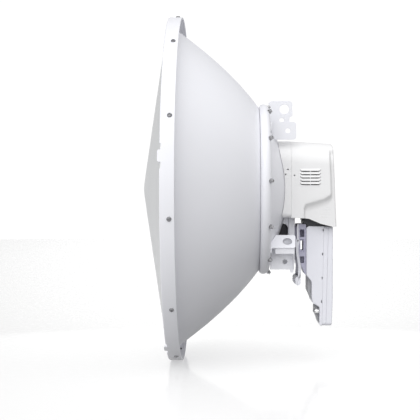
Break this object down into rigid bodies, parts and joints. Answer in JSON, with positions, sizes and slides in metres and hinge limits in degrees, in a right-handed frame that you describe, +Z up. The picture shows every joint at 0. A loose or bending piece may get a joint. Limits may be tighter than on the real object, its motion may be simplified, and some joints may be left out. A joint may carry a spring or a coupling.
{
  "type": "outdoor wireless bridge",
  "caption": "Deep parabolic dish antenna with conical radome, rear bracket ring with mounting ears, feed housing with louvred rain cover, and a radio in a quick-release mount.",
  "frame": {"origin": "on the dish axis, in the plane across it that holds the centres of the ears' bolt holes, where the pole bracket takes hold", "axes": "+X along the dish axis to the rear, so the antenna looks along -X; +Z up, with the radio hanging down; -Y is the left side when looking the way the antenna looks"},
  "size_m": [0.3644, 0.65, 0.65],
  "materials": {
    "powder_white": "satin white powder coat",
    "radome_plastic": "light grey moulded plastic",
    "cover_plastic": "white moulded plastic, fine texture",
    "radio_plastic": "cool light grey moulded plastic",
    "mount_plastic": "lavender grey moulded plastic",
    "dark_metal": "black matt coating",
    "rubber": "matt black rubber",
    "stainless": "stainless steel",
    "zinc": "bright zinc plate",
    "alloy": "machined aluminium",
    "gold_brass": "plated brass",
    "ptfe": "white low-loss plastic",
    "board_green": "green solder mask"
  },
  "bodies": {
    "antenna": {"reflector": "powder_white", "rim_band": "powder_white", "rear_ring": "powder_white", "ear_upper_left": "powder_white", "ear_upper_right": "powder_white", "ear_lower_left": "powder_white", "ear_lower_right": "powder_white", "mount_arm": "powder_white", "radome": "radome_plastic", "feed_housing": "cover_plastic", "radio_mount": "mount_plastic", "waveguide_adapter": "dark_metal", "arm_gasket": "rubber", "rim_screw_01": "stainless", "rim_screw_02": "stainless", "rim_screw_03": "stainless", "rim_screw_04": "stainless", "rim_screw_05": "stainless", "rim_screw_06": "stainless", "rim_screw_07": "stainless", "rim_screw_08": "stainless", "rim_screw_09": "stainless", "rim_screw_10": "stainless", "rim_screw_11": "stainless", "rim_screw_12": "stainless", "ring_bolt_01": "stainless", "ring_bolt_02": "stainless", "ring_bolt_03": "stainless", "ring_bolt_04": "stainless", "ring_bolt_05": "stainless", "ring_bolt_06": "stainless", "ring_bolt_07": "stainless", "ring_bolt_08": "stainless", "ring_bolt_09": "stainless", "ring_bolt_10": "stainless", "ring_bolt_11": "stainless", "ring_bolt_12": "stainless", "release_pin": "stainless", "hub_flange": "alloy", "feed_tube": "alloy", "subreflector": "alloy", "rf_socket_left": "gold_brass", "rf_socket_right": "gold_brass", "feed_cone": "ptfe"},
    "cover": {"rear_cover": "cover_plastic"},
    "radio": {"radio_front_shell": "radio_plastic", "radio_seal": "rubber", "radio_frame": "radio_plastic", "radio_rear_shell": "radio_plastic", "circuit_board": "board_green", "rf_shield": "alloy", "heat_spreader": "alloy", "ethernet_jack": "dark_metal", "rf_plug_left": "gold_brass", "rf_plug_right": "gold_brass", "ground_stud": "zinc", "ground_screw": "stainless"},
    "lever": {"release_lever": "radio_plastic"},
    "port_door": {"port_cover": "radio_plastic"}
  },
  "joints": [
    {"name": "cover_slide", "type": "slide", "parent": "antenna", "child": "cover", "axis": [1, 0, 0], "range_m": [0, 0.09]},
    {"name": "radio_slide", "type": "slide", "parent": "antenna", "child": "radio", "axis": [0, 0, -1], "range_m": [0, 0.1]},
    {"name": "lever_pivot", "type": "hinge", "parent": "antenna", "child": "lever", "pos_m": [0.0222, 0, -0.097], "axis": [0, 1, 0], "range_deg": [0, 12], "stiffness_Nm_per_rad": 0.6},
    {"name": "port_cover_slide", "type": "slide", "parent": "radio", "child": "port_door", "axis": [0, 0, -1], "range_m": [0, 0.03]}
  ]
}
